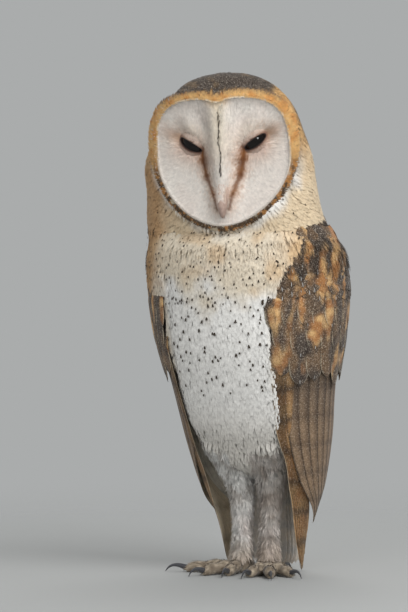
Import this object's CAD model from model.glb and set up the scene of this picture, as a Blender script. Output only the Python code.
import math
from functools import partial

import bpy
import numpy as np
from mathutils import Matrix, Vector


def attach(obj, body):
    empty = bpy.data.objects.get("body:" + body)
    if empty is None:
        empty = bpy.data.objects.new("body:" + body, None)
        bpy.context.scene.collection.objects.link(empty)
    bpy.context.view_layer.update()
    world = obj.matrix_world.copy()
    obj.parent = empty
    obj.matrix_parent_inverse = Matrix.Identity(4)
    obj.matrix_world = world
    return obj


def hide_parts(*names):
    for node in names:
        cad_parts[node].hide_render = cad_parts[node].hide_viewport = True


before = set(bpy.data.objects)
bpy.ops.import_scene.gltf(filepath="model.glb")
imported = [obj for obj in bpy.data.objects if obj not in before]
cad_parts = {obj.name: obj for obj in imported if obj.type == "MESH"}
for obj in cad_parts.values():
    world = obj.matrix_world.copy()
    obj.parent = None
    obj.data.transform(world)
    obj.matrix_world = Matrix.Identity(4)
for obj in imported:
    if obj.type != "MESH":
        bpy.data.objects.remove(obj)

MM = 0.001
TURN = 2 * math.pi
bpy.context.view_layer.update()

# ---- Sizes, as in the part ----

SHIFT_Y = 2.55  # the tables have their y from the axis of the body, this far behind the origin
OUTLINE = {
    "z": [0, 35, 62, 96, 140, 167, 204, 220, 232, 245, 264],
    "y": [30, 25, 22, 15.5, 6.7, 3, 0, -3, -6, -8, -10],
    "width": [33, 38, 47.5, 56, 65, 71, 75, 74, 72, 68, 63],
    "depth": [26, 30, 35, 41, 50, 54, 56, 54, 48.5, 43, 43],
}
TRUNK = {
    "z": [70, 74, 82, 98, 120, 150, 180, 210, 240],
    "y": [14, 13, 12, 11, 6, 2, 0, -3, -10],
    "width": [10, 22, 33, 43, 50, 55, 58, 59, 56],
    "depth": [8, 17, 25, 32, 39, 42, 43, 42, 41],
}
WING_FRONT = {"z": [0, 35, 62, 96, 140, 190, 207, 220, 240], "angle": [74, 60, 46, 42, 41, 37, 36, 43, 58]}
WING_BACK = {"z": [62, 130, 170, 205, 240], "angle": [178, 178, 168, 156, 140]}
PRIMARY_LINE = {"z": [0, 20, 38, 62, 96, 160], "angle": [104, 103, 98, 68, 53, 52]}
HEAD_CENTRE = (-2.2, -20, 298)
HEAD_TURN, HEAD_BOW, HEAD_LEAN = 14, 14, -2.8
CRANIUM = {
    "z": [-46, -30, -10, 8, 24, 36, 45, 51, 53.5],
    "x": [-1.8, -3.6, -4.4, -2.6, -0.4, -1, -1.4, -1, -0.5],
    "y": [2, 1, 0, 0, 0, -1, -2, -3, -3],
    "width": [59, 60.8, 60.1, 53.8, 46.6, 40.2, 31, 18, 3],
    "depth": [47, 48, 49, 48, 44, 37, 27, 15, 3],
    "front": [38, 28, 22, 22, 24, 26, 23, 13, 3],
}
DISC = {
    "width": 47.9, "top": 43.5, "bottom": 44, "square": 3.3, "round": 1.87, "front": -35.4, "pitch": 0.18,
    "sweep": 13, "dish": 8, "notch": 2.6, "notch_width": 7, "ridge": 3.2, "ridge_width": 9, "skirt": 4,
}
RIM = {"width": 4, "height": 2.6}
EYE = {"x": 20.9, "y": -14.8, "z": 9, "radius": 10.5, "slant": 30.5, "outward": 14}
BILL_UPPER = {
    "z": [-38.5, -35, -30, -23.5, -16.5, -10],
    "y": [-45.8, -47, -47.2, -45.2, -41.8, -37.6],
    "width": [1.1, 2.4, 3.6, 4.6, 4.9, 4.6],
    "depth": [1.5, 3, 4.2, 5, 5, 4],
}
BILL_LOWER = {
    "z": [-34.5, -30.5, -25, -19],
    "y": [-42.2, -40.6, -38.6, -36.2],
    "width": [1.6, 3, 3.8, 3.9],
    "depth": [1.5, 2.4, 3, 3.2],
}
LEG = {
    "z": [13.2, 20, 40, 60, 78, 92],
    "x": [10.4, 10.4, 10.4, 11.8, 15, 17],
    "y": [11, 11.5, 13, 12, 6, -2],
    "radius": [6.4, 6.6, 7.4, 9.8, 14, 17],
}
FOOT = {"x": 10.4, "y": 10, "radius": 7.6, "height": 12.8}
TOE = {"start": 3, "taper": 0.72, "knuckle": 0.08, "knuckles": 5, "sink": 0.9, "arch": 1}
TOES = {
    "left": {"outer": (57, 33, 4.6), "middle": (30, 37, 4.9), "inner": (4, 32, 4.8), "hind": (172, 19, 4.2)},
    "right": {
        "outer": (-62, 39, 4.6), "middle": (-18, 37, 4.9), "inner": (10, 31, 4.8), "hind": (-172, 19, 4.2),
    },
}
TALON = {"length": 15, "radius": 2.1, "rise": 2.6, "hind": 0.72}
FLOOR_CLEARANCE = 0.35
SEAM = 0.4
BODY_COAT = 2.6  # depth of the plumage over the skin of the body
HEAD_COAT = 1.8
FACE_COAT = 1.4
LEG_COAT = 1.6
ANKLE = 13.5
SIDES = (("left", 1), ("right", -1))

# ---- Small tools ----


def mix(a, b, t):
    return a + (b - a) * t


def smooth(value, low, high):
    t = np.clip((np.asarray(value, float) - low) / (high - low), 0, 1)
    return t * t * (3 - 2 * t)


def measure(table, level, key):
    """Value of one column of a table of levels, on a smooth curve through its rows."""
    z, v = np.array(table["z"], float), np.array(table[key], float)
    level = np.clip(np.asarray(level, float), z[0], z[-1])
    i = np.clip(np.searchsorted(z, level, side="right") - 1, 0, len(z) - 2)
    slope = np.array([(v[min(k + 1, len(z) - 1)] - v[max(k - 1, 0)])
                      / (z[min(k + 1, len(z) - 1)] - z[max(k - 1, 0)]) for k in range(len(z))])
    span = z[i + 1] - z[i]
    s = (level - z[i]) / span
    ease = s * s * (3 - 2 * s)
    bulge = s * (1 - s) ** 2 * span * slope[i]
    return mix(v[i], v[i + 1], ease) + bulge + s * s * (s - 1) * span * slope[i + 1]


def oval(table, angle, level, inset=0.0):
    """Point of the oval section at a level, at an angle from the breast line towards the left."""
    width = measure(table, level, "width") - inset
    depth = measure(table, level, "depth") - inset
    y = measure(table, level, "y") - depth * np.cos(angle) + SHIFT_Y
    return np.stack(np.broadcast_arrays(width * np.sin(angle), y, level), axis=-1).astype(float)


def unit(vectors):
    return vectors / np.maximum(np.linalg.norm(vectors, axis=-1, keepdims=True), 1e-9)


def oval_frame(angle, level, inset):
    """Point, outward normal and downward direction on an oval section of the outline."""
    east = oval(OUTLINE, angle + 0.01, level, inset) - oval(OUTLINE, angle - 0.01, level, inset)
    down = unit(oval(OUTLINE, angle, level - 0.5, inset) - oval(OUTLINE, angle, level + 0.5, inset))
    return oval(OUTLINE, angle, level, inset), unit(np.cross(down, east)), down


def full_turn(count):
    return np.linspace(0, TURN, count, endpoint=False)


def level_ring(x, y, level):
    return np.stack([x, y, np.full_like(x, level)], -1)


def turned(axis, angle):
    c, s = math.cos(math.radians(angle)), math.sin(math.radians(angle))
    i, j = {"x": (1, 2), "y": (2, 0), "z": (0, 1)}[axis]
    matrix = np.eye(3)
    matrix[i, i] = matrix[j, j] = c
    matrix[i, j], matrix[j, i] = -s, s
    return matrix


HEAD_AXES = turned("z", HEAD_TURN) @ turned("x", HEAD_BOW) @ turned("y", HEAD_LEAN)
HEAD_AT = np.array(HEAD_CENTRE) + (0, SHIFT_Y, 0)


def from_head(points):
    return points @ HEAD_AXES.T + HEAD_AT


def to_head(points):
    return (points - HEAD_AT) @ HEAD_AXES


PRIMES = (374761393, 668265263, 974634777)
MIXER = 1274126177
LOW_BITS, ALL_BITS = 0xFFFF, 0xFFFFFFFF


def scrambled(a, b, c, extra=0):
    """Value from 0 to 1 that looks random, always the same for the same whole numbers."""
    h = (a * PRIMES[0] + b * PRIMES[1] + c * PRIMES[2] + extra) & ALL_BITS
    h = ((h ^ (h >> 13)) * MIXER) & ALL_BITS
    return ((h ^ (h >> 16)) & LOW_BITS) / LOW_BITS


def noise(points, size, seed=0):
    """Smooth random values from 0 to 1 over space, with lumps of about the given size."""
    p = np.asarray(points, float) / size + seed * 7.31
    cell = np.floor(p).astype(np.int64)
    f = p - cell
    f = f * f * (3 - 2 * f)
    total = np.zeros(p.shape[:-1])
    for corner in np.ndindex(2, 2, 2):
        k = (cell + corner) & LOW_BITS
        value = scrambled(k[..., 0], k[..., 1], k[..., 2], seed * 362437)
        total += value * np.prod(np.where(np.array(corner) == 1, f, 1 - f), axis=-1)
    return total


def colour(red, green, blue):
    """Linear colour from the eight-bit values of a swatch."""
    c = np.array([red, green, blue], float) / 255
    return np.where(c <= 0.04045, c / 12.92, ((c + 0.055) / 1.055) ** 2.4)


def blend(base, over, share):
    return base + (over - base) * np.asarray(share)[..., None]


# ---- Meshes ----


def new_object(name, points, faces, tint=None, speck=0, uv=None, material=None, flat=False):
    """Mesh from arrays of points in millimetres and of triangles or quads."""
    faces = np.asarray(faces, np.int32)
    mesh = bpy.data.meshes.new(name)
    mesh.vertices.add(len(points))
    mesh.vertices.foreach_set("co", (np.asarray(points, float) * MM).ravel())
    mesh.loops.add(faces.size)
    mesh.loops.foreach_set("vertex_index", faces.ravel())
    mesh.polygons.add(len(faces))
    mesh.polygons.foreach_set("loop_start", np.arange(len(faces), dtype=np.int32) * faces.shape[1])
    mesh.polygons.foreach_set("use_smooth", np.full(len(faces), not flat))
    mesh.update(calc_edges=True)
    if tint is not None:
        rgba = np.ones((len(points), 4))
        rgba[:, :3] = np.clip(tint, 0, 1)
        mesh.color_attributes.new("Tint", "FLOAT_COLOR", "POINT").data.foreach_set("color", rgba.ravel())
        amount = np.full(len(points), speck, float)
        mesh.attributes.new("Speck", "FLOAT", "POINT").data.foreach_set("value", amount)
    if uv is not None:
        mesh.uv_layers.new(name="OFBake").data.foreach_set("uv", np.asarray(uv, float)[faces.ravel()].ravel())
    obj = bpy.data.objects.new(name, mesh)
    bpy.context.scene.collection.objects.link(obj)
    if material:
        mesh.materials.append(material)
    return obj


def carved(obj, balls):
    """Mesh of an object with its modifiers done and balls cut out of it."""
    tools = []
    for points, faces in balls:
        tool = new_object("tool", points, faces)
        tool.hide_render = True
        cut = obj.modifiers.new("cut", "BOOLEAN")
        cut.operation, cut.solver, cut.object = "DIFFERENCE", "EXACT", tool
        tools.append(tool)
    graph = bpy.context.evaluated_depsgraph_get()
    mesh = bpy.data.meshes.new_from_object(obj.evaluated_get(graph))
    obj.modifiers.clear()
    for tool in tools:
        bpy.data.objects.remove(tool)
    return mesh


def grid_cells(rows, columns, closed=False):
    """Corners of the cells between the points of a grid, four to a cell."""
    i, j = np.meshgrid(np.arange(rows - 1), np.arange(columns if closed else columns - 1), indexing="ij")
    k = (j + 1) % columns
    below = (i + 1) * columns
    return np.stack([i * columns + j, i * columns + k, below + k, below + j], -1).reshape(-1, 4)


def loft(rings):
    """Closed surface through rings of equal count, with a fan at each end, as points and triangles."""
    rings = np.asarray(rings, float)
    rows, count = rings.shape[:2]
    points = np.concatenate([rings.reshape(-1, 3), rings[[0, -1]].mean(axis=1)])
    cells = grid_cells(rows, count, closed=True)
    j = np.arange(count)
    k = (j + 1) % count
    last = (rows - 1) * count
    fans = [np.stack([np.full(count, rows * count), k, j], -1),
            np.stack([np.full(count, rows * count + 1), last + j, last + k], -1)]
    return points, np.concatenate([cells[:, [0, 1, 2]], cells[:, [0, 2, 3]]] + fans)


def joined(parts):
    """Points and faces of several surfaces as those of one."""
    starts = np.cumsum([0] + [len(points) for points, _ in parts])
    return (np.concatenate([points for points, _ in parts]),
            np.concatenate([faces + start for (_, faces), start in zip(parts, starts)]))


def ball(centre, radius, across=32, along=20):
    tilt = np.linspace(0.02, math.pi - 0.02, along)
    rings = [[(math.sin(a) * math.cos(b), math.sin(a) * math.sin(b), math.cos(a)) for b in full_turn(across)]
             for a in tilt]
    return loft(np.array(rings) * radius + centre)


# ---- The head's own shapes ----


def rim_radius(angle):
    """Distance from the middle of the facial disc to its edge, at an angle from straight up."""
    side, up = np.abs(np.sin(angle)), np.cos(angle)
    power = np.where(up > 0, DISC["square"], DISC["round"])
    height = np.where(up > 0, DISC["top"], DISC["bottom"])
    radius = ((side / DISC["width"]) ** power + (np.abs(up) / height) ** power) ** (-1 / power)
    return radius - DISC["notch"] * np.exp(-((radius * side / DISC["notch_width"]) ** 2)) * (up > 0)


def disc_rim(angle):
    return rim_radius(angle) * np.sin(angle), rim_radius(angle) * np.cos(angle)


def disc_share(x, z):
    return np.hypot(x, z) / rim_radius(np.arctan2(x, z))


def near_line(x, z, ends):
    """Distance in the plane of the face from a line between two points, given for the left side."""
    (ax, az), (bx, bz) = ends
    px, pz = np.abs(x) - ax, z - az
    along = np.clip((px * (bx - ax) + pz * (bz - az)) / ((bx - ax) ** 2 + (bz - az) ** 2), 0, 1)
    return np.hypot(px - along * (bx - ax), pz - along * (bz - az)), along


BROW = {"ends": ((10.5, 3), (24, 24)), "width": 4.5, "height": 2.2}
ORBIT = {"ends": ((15.5, 5.5), (29, 13)), "width": 4.8, "depth": 3.2}


def disc_depth(x, z):
    """Level of the face along the head's y axis."""
    share = np.minimum(disc_share(x, z), 1)
    sweep = DISC["sweep"] * (x / DISC["width"]) ** 2
    dish = DISC["dish"] * (1 - share**2.4) * smooth(np.abs(x), 2, 16)
    spread = DISC["ridge_width"] * mix(1, 0.6, smooth(-z, -30, 30))
    ridge = DISC["ridge"] * np.exp(-((x / spread) ** 2)) * (1 - share**3)
    brow = BROW["height"] * np.exp(-((near_line(x, z, BROW["ends"])[0] / BROW["width"]) ** 2))
    orbit = ORBIT["depth"] * np.exp(-((near_line(x, z, ORBIT["ends"])[0] / ORBIT["width"]) ** 2))
    return DISC["front"] + DISC["pitch"] * z + sweep + dish - ridge - brow + orbit


def disc_rings(inset):
    rings = []
    angle = full_turn(120)
    rim_x, rim_z = disc_rim(angle)
    for share in np.linspace(0.04, 0.97, 26):
        x, z = rim_x * share, rim_z * share
        rings.append(np.stack([x, disc_depth(x, z) + inset, z], -1))
    out_x, out_z = rim_x / np.hypot(rim_x, rim_z), rim_z / np.hypot(rim_x, rim_z)
    edge = disc_depth(rim_x, rim_z) + inset
    height, width = RIM["height"], RIM["width"]
    for outward, forward in ((0, height), (width * 0.7, height * 0.7), (width, -2)):
        rings.append(np.stack([rim_x + out_x * outward, edge - forward, rim_z + out_z * outward], -1))
    rings.append(np.stack([rim_x * 0.8, np.full_like(rim_x, DISC["skirt"]), rim_z * 0.8], -1))
    return np.array(rings)


def cranium_rings(inset):
    rings = []
    angle = full_turn(96)
    grown = 1 - inset / 50
    for level in np.concatenate([np.linspace(-56, 36, 24), np.linspace(39, 53, 10)]):
        width, front, back = (measure(CRANIUM, level, key) for key in ("width", "front", "depth"))
        x = measure(CRANIUM, level, "x") + width * grown * np.sin(angle)
        y = measure(CRANIUM, level, "y") - np.where(np.cos(angle) > 0, front, back) * grown * np.cos(angle)
        rings.append(level_ring(x, y, level * grown))
    return np.array(rings)

# ---- Skin ----

LEFT_FORWARD = math.radians(7)


def front_edge(level, side=0):
    """Front edge of a folded wing; the left one's long feathers lie a little further over the flank."""
    forward = LEFT_FORWARD * smooth(level, 70, 105) * (1 - smooth(level, 186, 206))
    return np.radians(measure(WING_FRONT, level, "angle")) - np.where(np.asarray(side) > 0, forward, 0)


def back_edge(level):
    return np.radians(measure(WING_BACK, level, "angle"))


def chin_room(angle, level):
    """How far the breast draws back under the chin."""
    from_front = np.minimum(np.mod(angle, TURN), TURN - np.mod(angle, TURN))
    return 6 * smooth(level, 229, 243) * (1 - smooth(from_front, 0.3, 0.85))


def trunk_rings(inset):
    rings = []
    angle = full_turn(120)
    from_front = np.minimum(angle, TURN - angle)
    for level in np.linspace(70, 238, 60):
        front, back = front_edge(level), back_edge(level)
        breast = smooth(level, 84, 112) * smooth(-from_front, -front - 0.12, -front + 0.12)
        mantle = smooth(level, 128, 170) * smooth(from_front, back - 0.1, back + 0.1)
        outer = oval(OUTLINE, angle, level, inset + chin_room(angle, level))
        rings.append(mix(oval(TRUNK, angle, level, 0.6), outer, np.maximum(breast, mantle)[:, None]))
    return np.array(rings)


def arm_rings(side, inset):
    rings = []
    for level in np.linspace(234, 138, 32):
        angle = np.linspace(front_edge(level) - 0.06, back_edge(level) + 0.06, 40)
        sunk = inset + 1.6 * (1 - smooth(level, 184, 204)) + 5 * (1 - smooth(level, 138, 152))
        outer, inner = oval(OUTLINE, angle * side, level, sunk), oval(TRUNK, angle[::-1] * side, level, 3)
        rings.append(np.concatenate([outer, inner]))
    return np.array(rings)


def neck_rings(inset):
    rings = []
    angle = full_turn(120)
    for level in np.linspace(222, 286, 26):
        narrower = 9 * smooth(level, 262, 286) ** 2 * 2
        lean = -7 * float(smooth(level, 232, 250))
        fuller = 1.6 * float(smooth(level, 240, 252))
        depth = inset + narrower - fuller + chin_room(angle, level)
        rings.append(oval(OUTLINE, angle, level, depth) + (lean, 0, 0))
    return np.array(rings)


def leg_rings(side, inset):
    rings = []
    angle = full_turn(40)
    for level in np.linspace(98, 9, 34):
        radius = measure(LEG, level, "radius") - inset * float(smooth(level, 8, 30))
        x = side * measure(LEG, level, "x") + radius * np.cos(angle)
        rings.append(level_ring(x, measure(LEG, level, "y") + SHIFT_Y + radius * np.sin(angle), level))
    return np.array(rings)


def heading(turn):
    return np.array([math.sin(math.radians(turn)), -math.cos(math.radians(turn)), 0])


def toe_rings(side, toe):
    turn, length, radius = toe
    ahead = heading(turn)
    across = np.cross(ahead, (0, 0, 1))
    angle = full_turn(24)
    start = np.array([side * FOOT["x"], FOOT["y"] + SHIFT_Y, 0]) + ahead * TOE["start"]
    rings = []
    for s in np.linspace(0, 1, 30):
        bump = 1 + TOE["knuckle"] * math.cos(s * math.pi * TOE["knuckles"])
        r = radius * mix(1, TOE["taper"], s) * bump
        if s > 0.93:
            r *= 0.86
        centre = start + ahead * (length - TOE["start"]) * s
        centre[2] = r * TOE["sink"] + TOE["arch"] * math.sin(s * math.pi)
        ring = centre + r * (np.cos(angle)[:, None] * across + np.sin(angle)[:, None] * (0, 0, 1))
        ring[:, 2] = np.maximum(ring[:, 2], 0.0)
        rings.append(ring)
    return np.array(rings)


def foot_rings(side):
    angle = full_turn(32)
    rings = []
    for level, share in ((0, 0.72), (1, 0.86), (3, 1), (8, 0.98), (FOOT["height"], 0.82), (16, 0.7)):
        x, y = (FOOT["radius"] * share * wave(angle) for wave in (np.cos, np.sin))
        rings.append(level_ring(side * FOOT["x"] + x, FOOT["y"] + SHIFT_Y + y, level))
    return np.array(rings)


def behind_face(points):
    """Keeps the neck and the skull from coming through the facial disc."""
    q = to_head(points)
    room = disc_depth(q[..., 0], q[..., 2]) + 5
    inside = (disc_share(q[..., 0], q[..., 2]) < 1.02) & (q[..., 1] < room)
    q[..., 1] = np.where(inside, room, q[..., 1])
    return from_head(q)


SKIN_VOXEL = 1.15
NECK_PASSES = 120
SOCKET_ROOM = 0.9


def make_skin():
    """One closed skin over the whole body, inside its outline by the depth of the plumage."""
    shapes = [behind_face(trunk_rings(BODY_COAT)), behind_face(neck_rings(BODY_COAT)),
              from_head(disc_rings(FACE_COAT)), behind_face(from_head(cranium_rings(HEAD_COAT)))]
    for side in (1, -1):
        shapes += [arm_rings(side, BODY_COAT), leg_rings(side, LEG_COAT), foot_rings(side)]
    shapes += [toe_rings(side, toe) for name, side in SIDES for toe in TOES[name].values()]
    raw = new_object("skin_raw", *joined([loft(rings) for rings in shapes]))
    fix = raw.modifiers.new("voxels", "REMESH")
    fix.mode, fix.voxel_size = "VOXEL", SKIN_VOXEL * MM
    soften = raw.modifiers.new("soften", "SMOOTH")
    soften.factor, soften.iterations = 0.5, 5
    raw.modifiers.new("thin", "DECIMATE").ratio = 0.5
    sockets = [ball((side * EYE["x"], EYE["y"], EYE["z"]), EYE["radius"] + SOCKET_ROOM, 40, 24)
               for side in (1, -1)]
    mesh = carved(raw, [(from_head(points), faces) for points, faces in sockets])
    bpy.data.objects.remove(raw)
    points = np.empty(len(mesh.vertices) * 3)
    mesh.vertices.foreach_get("co", points)
    mesh.calc_loop_triangles()
    faces = np.empty(len(mesh.loop_triangles) * 3, np.int32)
    mesh.loop_triangles.foreach_get("vertices", faces)
    faces = faces.reshape(-1, 3)
    points = smoothed_neck(points.reshape(-1, 3) / MM, faces)
    points[:, 2] = np.maximum(points[:, 2], 0)
    return points, faces


def smoothed_neck(points, faces):
    """Melts the step between the head and the shoulders, as neck feathers do."""
    q = to_head(points)
    on_face = (disc_share(q[:, 0], q[:, 2]) < 1.04) & (q[:, 1] < disc_depth(q[:, 0], q[:, 2]) + 9)
    clear = smooth(q[:, 1], -30, -12) * ~on_face
    amount = smooth(points[:, 2], 228, 240) * (1 - smooth(points[:, 2], 268, 290)) * clear
    behind_rim = smooth(q[:, 1], -27, -21) * (1 - smooth(q[:, 1], -6, 4)) * smooth(np.abs(q[:, 0]), 26, 36)
    amount = np.maximum(amount, 0.8 * behind_rim * (q[:, 2] > -44) * ~on_face)
    edges = np.concatenate([faces[:, [0, 1]], faces[:, [1, 2]], faces[:, [2, 0]]])
    start, end = np.concatenate([edges, edges[:, ::-1]]).T
    valence = np.maximum(np.bincount(start, minlength=len(points)), 1)[:, None]
    for _ in range(NECK_PASSES):
        mean = np.stack([np.bincount(start, points[end, k], len(points)) for k in range(3)], -1) / valence
        points = mix(points, mean, 0.6 * amount[:, None])
    return points


TRIES = 6  # roots tried for each one wanted
CELL = 0.92  # side of the cell that keeps one root, in spacings
CELL_PRIME = 100003


class Skin:
    """Points and triangles of the skin, with what the feathers need of them."""

    def __init__(self, points, faces):
        self.points, self.faces = points, faces
        a, b, c = (points[faces[:, k]] for k in range(3))
        cross = np.cross(b - a, c - a)
        self.area = np.linalg.norm(cross, axis=1) / 2
        self.rise = unit(cross)[:, 2]
        self.middle = (a + b + c) / 3
        normals = np.zeros_like(points)
        for k in range(3):
            np.add.at(normals, faces[:, k], cross)
        self.normals = unit(normals)

    def scatter(self, wanted, spacing, seed):
        """Roots over the triangles wanted, about one spacing apart."""
        rng = np.random.default_rng(seed)
        share = self.area * wanted
        count = int(share.sum() / spacing**2 * TRIES)
        pick = rng.choice(len(share), count, p=share / share.sum())
        u, v = rng.random(count), rng.random(count)
        u, v = np.where(u + v > 1, 1 - u, u), np.where(u + v > 1, 1 - v, v)
        corners = self.faces[pick]
        weights = np.stack([1 - u - v, u, v], -1)[..., None]
        points = (self.points[corners] * weights).sum(axis=1)
        normals = unit((self.normals[corners] * weights).sum(axis=1))
        cells = np.floor(points / (spacing * CELL) + 1000).astype(np.int64)
        keys = (cells[:, 0] * CELL_PRIME + cells[:, 1]) * CELL_PRIME + cells[:, 2]
        first = np.unique(keys, return_index=True)[1]
        first.sort()
        return points[first], normals[first]


# ---- Colours of the plumage: each tint function gives colours and shares of peppering at points ----

WHITE = colour(236, 234, 230)
WARM = colour(232, 222, 210)
CREAM = colour(226, 212, 186)
BUFF = colour(218, 196, 158)
GOLD = colour(212, 170, 112)
ORANGE = colour(196, 132, 68)
RUST = colour(104, 62, 36)
PINK = colour(206, 172, 158)
GREY = colour(84, 73, 64)
AMBER = colour(176, 130, 80)
WING_GOLD = colour(228, 184, 126)
WING_ORANGE = colour(176, 122, 72)
DARK = colour(48, 38, 32)
BROWN = colour(120, 96, 72)
SPOT = colour(62, 52, 42)
VIEW_SIDEWAYS, VIEW_FORWARD = 0.883, 0.469  # cosine and sine of the photo's 28 degrees


def body_angle(points):
    """Angle from the breast line, on the oval body section at a point's level."""
    level = np.clip(points[..., 2], 0, 264)
    across = points[..., 0] / measure(OUTLINE, level, "width")
    back = (points[..., 1] - SHIFT_Y - measure(OUTLINE, level, "y")) / measure(OUTLINE, level, "depth")
    return np.arctan2(across, -back)


def view_across(points):
    """Distance across the owl as seen from its front left, alike for both wings."""
    return VIEW_SIDEWAYS * np.abs(points[..., 0]) + VIEW_FORWARD * (points[..., 1] - SHIFT_Y)


def breast_tint(points):
    z = points[..., 2]
    turn = np.degrees(body_angle(points))
    angle = np.abs(turn)
    q = to_head(points)
    chest = smooth(z + 30 * (noise(points, 15, 1) - 0.5) + 10 * (noise(points, 5, 21) - 0.5), 186, 212)
    patches = smooth(noise(points, 13, 2), 0.45, 0.75)
    tint = blend(blend(CREAM, WARM, 0.35), GOLD, patches * 0.4)
    tint = blend(tint, GOLD, smooth(angle, 28, 56) * 0.5)
    tint = blend(WHITE, tint, chest)
    tint = blend(tint, colour(206, 200, 190), 0.7 * (1 - smooth(z, 84, 130)))
    flank = smooth(angle, 30, 42) * smooth(z, 120, 160) * (1 - chest)
    tint = blend(tint, BUFF, flank * 0.5)
    wander = noise(points * (1, 1, 0.5), 9, 47) - 0.5
    shoulder = smooth(-turn + 30 * wander, 38, 62) * smooth(z + 34 * wander, 176, 204)
    shoulder = shoulder * (1 - 0.7 * smooth(z + 30 * wander, 224, 250))
    tint = blend(tint, blend(GOLD, ORANGE, 0.5 * patches), shoulder * 0.75)
    flank_side = smooth(-points[..., 0] + 14 * (patches - 0.5), 36, 56) * smooth(z, 196, 216)
    tint = blend(tint, AMBER, 0.6 * flank_side)
    share = disc_share(q[..., 0], q[..., 2])
    collar = (1 - smooth(share + 0.2 * noise(points, 9, 22), 1.14, 1.34)) * (1 - smooth(q[..., 2], 2, 18))
    tint = blend(tint, WHITE, collar * 0.9)
    return tint, 0


def head_tint(points):
    q = to_head(points)
    x, y, z = q[..., 0], q[..., 1], q[..., 2]
    lump = noise(points, 9, 4)
    top = smooth(z - 0.0065 * x**2 + 6 * (lump - 0.5), 29, 36)
    crown = smooth(y + 5 * (lump - 0.5), -29, -24) * top
    nape = smooth(y + 10 * (lump - 0.5), 0, 18) * smooth(z + 12 * (lump - 0.5), -80, -44)
    gold = blend(GOLD, ORANGE, 0.3 * noise(points, 7, 5))
    tint = blend(gold, CREAM, 0.75 * (1 - smooth(z + 14 * (lump - 0.5), -26, 14)))
    tint = blend(tint, DARK, 0.6 * smooth(noise(points, 1.6, 31), 0.84, 0.9))
    tint = blend(tint, AMBER, 0.75 * smooth(-x + 12 * (lump - 0.5), 34, 54) * (1 - smooth(z, -14, 6)))
    share = disc_share(x, z)
    collar = (1 - smooth(share + 0.2 * noise(points, 9, 22), 1.14, 1.36)) * (1 - smooth(z, -10, 8))
    collar = collar * (1 - smooth(y - 20 * (x < 0), -18, 2))
    tint = blend(tint, WHITE, collar * 0.9)
    patch = smooth(noise(points * (1, 1, 0.4), 4.4, 6), 0.56, 0.82) * (1 - 0.8 * crown)
    grey = blend(GREY, DARK, 0.3)
    grey = blend(grey, GOLD, 0.7 * patch)
    back = np.maximum(crown, nape)
    low = 1 - smooth(points[..., 2] + 14 * (lump - 0.5), 252, 282)
    grey = blend(grey, wing_tint(points)[0], low)
    tint = blend(tint, grey, back)
    return tint, 0.05 + 0.75 * back * (1 - 0.6 * patch)


RUST_INNER = (
    # Lines of the rusty mark between eye and bill, each with its strength and width
    (((15.2, 6.2), (14.1, -1.2)), 1.0, 2.6), (((14.1, -1.2), (12.2, -11)), 0.95, 2.2),
    (((12.2, -11), (7.0, -23)), 0.85, 1.8), (((7.0, -23), (4.2, -33)), 0.8, 1.1),
)
RUST_OUTER = ((29.5, 13), (39, 18))


def face_tint(points):
    q = to_head(points)
    x, z = q[..., 0], q[..., 2]
    away = np.hypot(np.abs(x) - EYE["x"], (z - EYE["z"]) * 1.2)
    tint = blend(WARM, WHITE, 0.5 * smooth(away, 10, 26))
    above = smooth((z - EYE["z"]) - 0.55 * (np.abs(x) - EYE["x"]), 0.5, 4)
    rosy = 0.7 * np.exp(-((away / 13) ** 2)) * (1 - 0.95 * above)
    tint = blend(tint, PINK, rosy + 0.18 * noise(points, 8, 7))
    streak = 0.45 + 1.1 * noise(points, 1.2, 32)
    for ends, strength, width in RUST_INNER:
        near = near_line(x, z, ends)[0] * streak
        tint = blend(tint, ORANGE, 0.3 * np.exp(-((near / 4.6) ** 2)))
        tint = blend(tint, RUST, strength * np.exp(-((near / width) ** 2)))
    near, along = near_line(x, z, RUST_OUTER)
    near = near * streak
    warm = np.where(x > 0, 0.75, 0.55)
    tint = blend(tint, BROWN, warm * np.exp(-((near / mix(3.2, 5.4, along)) ** 2)) * (1 - 0.6 * along))
    tint = blend(tint, ORANGE, 0.35 * np.exp(-((near / 6) ** 2)) * (1 - 0.5 * along))
    wander = 0.7 * (noise(points, 6, 33) - 0.5)
    parting = np.exp(-(((x - 0.8 + wander) / 0.5) ** 2)) * smooth(z, -12, -4) * (1 - smooth(z, 32, 38))
    tint = blend(tint, DARK, parting * smooth(noise(points, 3, 8), 0.3, 0.5))
    brow = smooth(z - np.abs(x) * 0.2, 33, 40)
    tint = blend(tint, GOLD, 0.6 * brow * smooth(12 - np.abs(x), 0, 8))
    tint = blend(tint, CREAM, 0.6 * np.exp(-((x / 6) ** 2)) * smooth(z, -20, 30))
    return tint, 0


WING_PATCHES = (
    # Golden patches of the upper wing: place seen from the front left, half width, half height
    ((51, 208), 3.6, 17), ((31, 208), 2.6, 8), ((47, 174), 5, 9), ((60, 217), 2.2, 28), ((19, 190), 2.2, 22),
    ((41, 228), 2.4, 8), ((36, 190), 2.2, 12), ((55, 186), 2.4, 10),
)


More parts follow.
